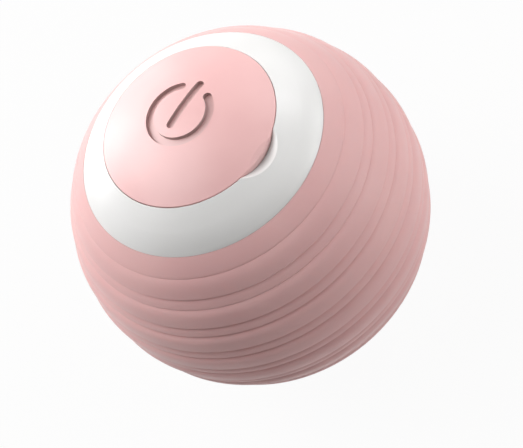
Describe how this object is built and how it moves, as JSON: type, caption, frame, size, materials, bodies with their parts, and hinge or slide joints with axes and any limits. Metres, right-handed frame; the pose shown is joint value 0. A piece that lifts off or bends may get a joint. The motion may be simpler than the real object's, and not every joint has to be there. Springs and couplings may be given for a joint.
{
  "type": "self-rolling cat ball",
  "caption": "Motorised cat ball: pink ribbed silicone sleeve on a white shell, pink push cap with a power sign over the charging socket, geared eccentric weight inside.",
  "frame": {"origin": "centre of the ball", "axes": "+Z along the axis of the round power cap, outwards through the cap; +Y towards the top of the power sign; +X towards the nail notch"},
  "size_m": [0.0428, 0.0428, 0.043],
  "materials": {
    "pink_silicone": "matte",
    "pink_plastic": "satin",
    "white_plastic": "gloss",
    "grey_plastic": "matte",
    "gear_nylon": "satin",
    "black_plastic": "matte",
    "screw_steel": "satin",
    "axle_steel": "polished",
    "motor_steel": "satin",
    "weight_metal": "cast",
    "bush_brass": "satin",
    "battery_foil": "satin",
    "black_foam": "matte",
    "green_board": "satin",
    "lamp_plastic": "gloss"
  },
  "bodies": {
    "shell": {"silicone_sleeve": "pink_silicone", "upper_shell": "white_plastic", "lower_shell": "white_plastic", "shell_screws": "screw_steel", "chassis": "grey_plastic", "chassis_screws": "screw_steel", "gear_cover": "grey_plastic", "gear_cover_screws": "screw_steel", "cover_bush": "bush_brass", "floor_bush": "bush_brass", "pivot_bush": "bush_brass", "idler_pin": "axle_steel", "motor_can": "motor_steel", "motor_end_cap": "black_plastic", "battery_cell": "battery_foil", "battery_foam": "black_foam", "main_board": "green_board", "board_screws": "screw_steel", "control_chip": "black_plastic", "usb_socket": "screw_steel", "usb_tongue": "black_plastic", "switch_body": "motor_steel", "status_leds": "lamp_plastic"},
    "button": {"button_stem": "grey_plastic", "switch_plunger": "black_plastic"},
    "cap": {"power_cap": "pink_plastic"},
    "weight": {"main_axle": "axle_steel", "drive_gear": "gear_nylon", "counterweight": "weight_metal", "weight_screw": "screw_steel"},
    "idler": {"idler_gear": "gear_nylon"},
    "rotor": {"motor_shaft": "axle_steel", "motor_pinion": "bush_brass"}
  },
  "joints": [
    {"name": "button_press", "type": "slide", "parent": "shell", "child": "button", "axis": [0, 0, -1], "range_m": [0, 0.00035], "stiffness_N_per_m": 300},
    {"name": "cap_lift", "type": "slide", "parent": "button", "child": "cap", "axis": [0, 0, 1], "range_m": [0, 0.012]},
    {"name": "weight_spin", "type": "hinge", "parent": "shell", "child": "weight", "pos_m": [0, 0, 0], "axis": [0, 0, 1], "continuous": true},
    {"name": "idler_spin", "type": "hinge", "parent": "shell", "child": "idler", "pos_m": [0.0047, 0.00791, 0], "axis": [0, 0, 1], "continuous": true},
    {"name": "motor_spin", "type": "hinge", "parent": "shell", "child": "rotor", "pos_m": [0.0059, 0, 0], "axis": [0, 0, 1], "continuous": true}
  ],
  "couplings": [
    {"joint": "idler_spin", "follows": "weight_spin", "ratio": -3.6},
    {"joint": "motor_spin", "follows": "weight_spin", "ratio": 10.8}
  ]
}
